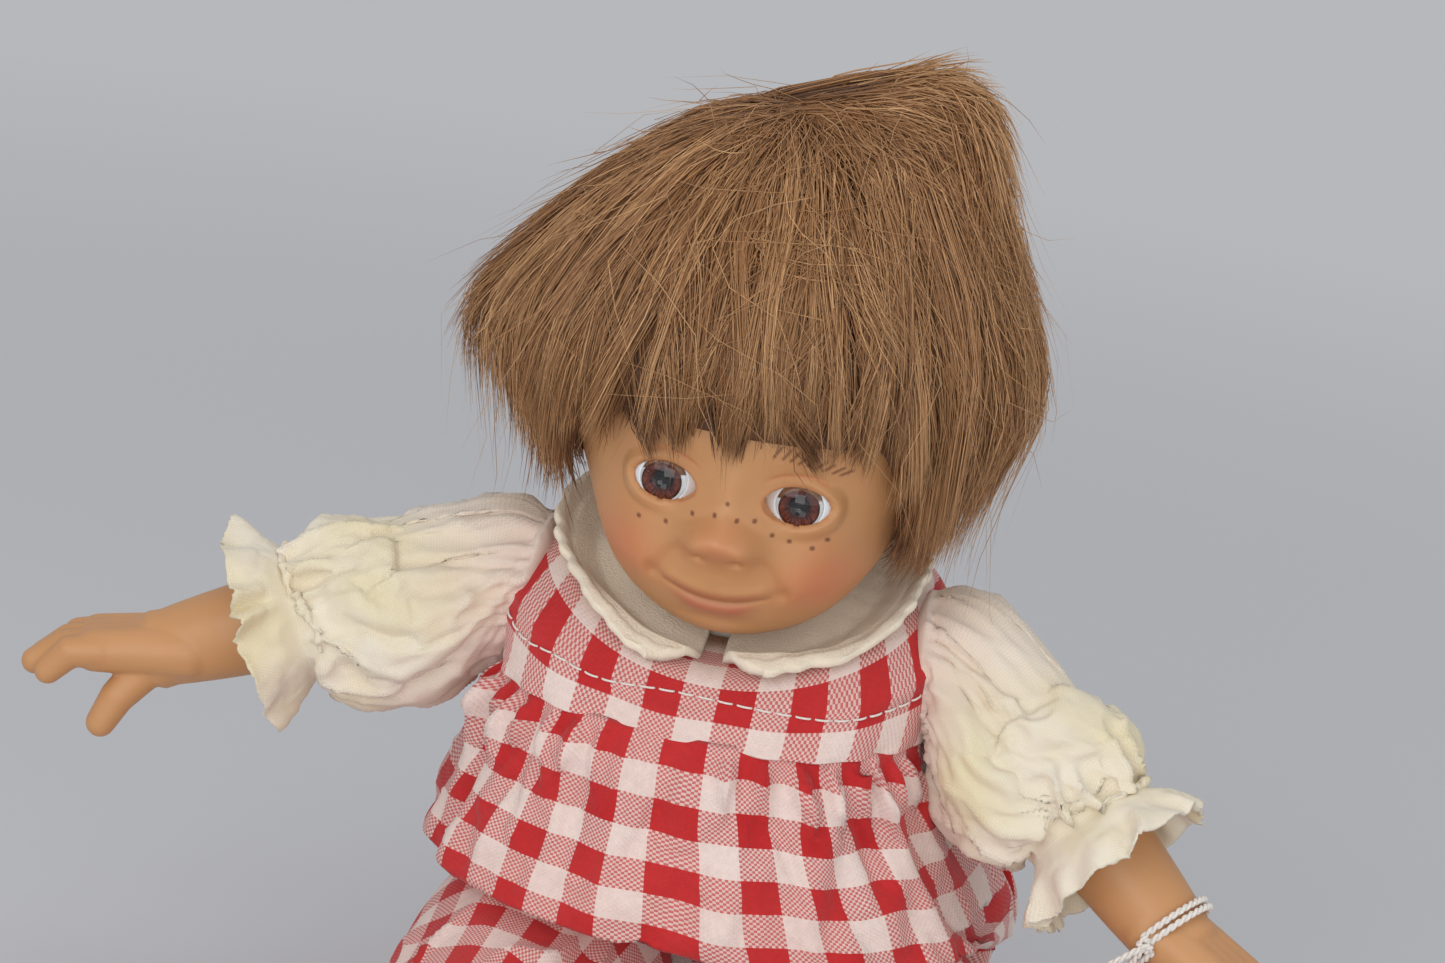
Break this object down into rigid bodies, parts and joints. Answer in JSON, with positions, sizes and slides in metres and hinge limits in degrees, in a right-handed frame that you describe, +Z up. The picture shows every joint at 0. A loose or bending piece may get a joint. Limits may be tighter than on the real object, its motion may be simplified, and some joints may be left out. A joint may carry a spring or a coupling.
{
  "type": "soft-bodied play doll",
  "caption": "Seated soft-bodied doll with a vinyl head, hands and feet, rooted hair, set-in eyes and a gingham romper with puffed sleeves.",
  "frame": {"origin": "on the flat underside of the seat, behind the legs and midway between them", "axes": "-Y is the way the doll faces, +X its left hand, +Z up"},
  "size_m": [0.2326, 0.1551, 0.1955],
  "materials": {
    "vinyl": "soft moulded vinyl, satin",
    "hair": "rooted synthetic hair, short bob",
    "eye_white": "polished",
    "iris": "printed reddish brown",
    "eye_lens": "clear polished acrylic",
    "gingham": "red and white gingham cotton",
    "cream_lawn": "thin plain-weave cotton",
    "cream_flannel": "brushed cotton, two layers",
    "body_cotton": "plain cotton",
    "wadding": "polyester fibre filling",
    "elastic": "narrow covered elastic",
    "tie_cord": "waxed cotton cord",
    "snap": "moulded press stud",
    "string": "two-ply cotton string"
  },
  "bodies": {
    "torso": {"torso_cloth": "body_cotton", "torso_stuffing": "wadding", "romper_body": "gingham", "romper_yoke": "gingham", "collar_right": "cream_flannel", "collar_left": "cream_flannel", "back_snaps": "snap"},
    "neck": {"neck_casing": "body_cotton", "neck_tie": "tie_cord"},
    "head": {"head_shell": "vinyl", "rooted_hair": "hair", "eye_white_right": "eye_white", "eye_white_left": "eye_white", "iris_right": "iris", "iris_left": "iris", "eye_lens_right": "eye_lens", "eye_lens_left": "eye_lens"},
    "right_arm": {"upper_arm_right": "body_cotton", "arm_stuffing_right": "wadding", "sleeve_right": "cream_lawn", "sleeve_elastic_right": "elastic", "arm_tie_right": "tie_cord"},
    "right_forearm": {"forearm_right": "vinyl"},
    "left_arm": {"upper_arm_left": "body_cotton", "arm_stuffing_left": "wadding", "sleeve_left": "cream_lawn", "sleeve_elastic_left": "elastic", "arm_tie_left": "tie_cord"},
    "left_forearm": {"forearm_left": "vinyl", "wrist_string": "string"},
    "right_leg": {"thigh_right": "body_cotton", "thigh_stuffing_right": "wadding", "romper_leg_right": "gingham", "leg_elastic_right": "elastic", "leg_tie_right": "tie_cord"},
    "right_lower_leg": {"lower_leg_right": "vinyl"},
    "left_leg": {"thigh_left": "body_cotton", "thigh_stuffing_left": "wadding", "romper_leg_left": "gingham", "leg_elastic_left": "elastic", "leg_tie_left": "tie_cord"},
    "left_lower_leg": {"lower_leg_left": "vinyl"}
  },
  "joints": [
    {"name": "head_nod", "type": "hinge", "parent": "torso", "child": "neck", "pos_m": [-0.008, -0.01665, 0.09888], "axis": [1, 0, 0], "range_deg": [-7, 4]},
    {"name": "head_turn", "type": "hinge", "parent": "neck", "child": "head", "pos_m": [-0.008, -0.01665, 0.09888], "axis": [0, -0.2588, 0.9659], "range_deg": [-45, 45]},
    {"name": "right_shoulder", "type": "hinge", "parent": "torso", "child": "right_arm", "pos_m": [-0.05, -0.0215, 0.096], "axis": [-0.1908, 0.9816, 0], "range_deg": [-16, 8]},
    {"name": "right_forearm_turn", "type": "hinge", "parent": "right_arm", "child": "right_forearm", "pos_m": [-0.07349, -0.02607, 0.08584], "axis": [-0.9036, -0.1756, -0.3907], "range_deg": [-60, 60]},
    {"name": "left_shoulder", "type": "hinge", "parent": "torso", "child": "left_arm", "pos_m": [0.034, -0.0215, 0.096], "axis": [-0.4067, -0.9135, 0], "range_deg": [-5, 23]},
    {"name": "left_forearm_turn", "type": "hinge", "parent": "left_arm", "child": "left_forearm", "pos_m": [0.05334, -0.03011, 0.0809], "axis": [0.7437, -0.3311, -0.5807], "range_deg": [-60, 60]},
    {"name": "right_hip", "type": "hinge", "parent": "torso", "child": "right_leg", "pos_m": [-0.03, -0.0315, 0.0244], "axis": [1, 0, 0], "range_deg": [0, 80]},
    {"name": "right_lower_leg_turn", "type": "hinge", "parent": "right_leg", "child": "right_lower_leg", "pos_m": [-0.03637, -0.0768, 0.01959], "axis": [-0.1384, -0.9848, -0.1045], "range_deg": [-45, 45]},
    {"name": "left_hip", "type": "hinge", "parent": "torso", "child": "left_leg", "pos_m": [0.03, -0.0315, 0.0244], "axis": [1, 0, 0], "range_deg": [0, 80]},
    {"name": "left_lower_leg_turn", "type": "hinge", "parent": "left_leg", "child": "left_lower_leg", "pos_m": [0.03637, -0.0768, 0.01959], "axis": [0.1384, -0.9848, -0.1045], "range_deg": [-45, 45]}
  ]
}
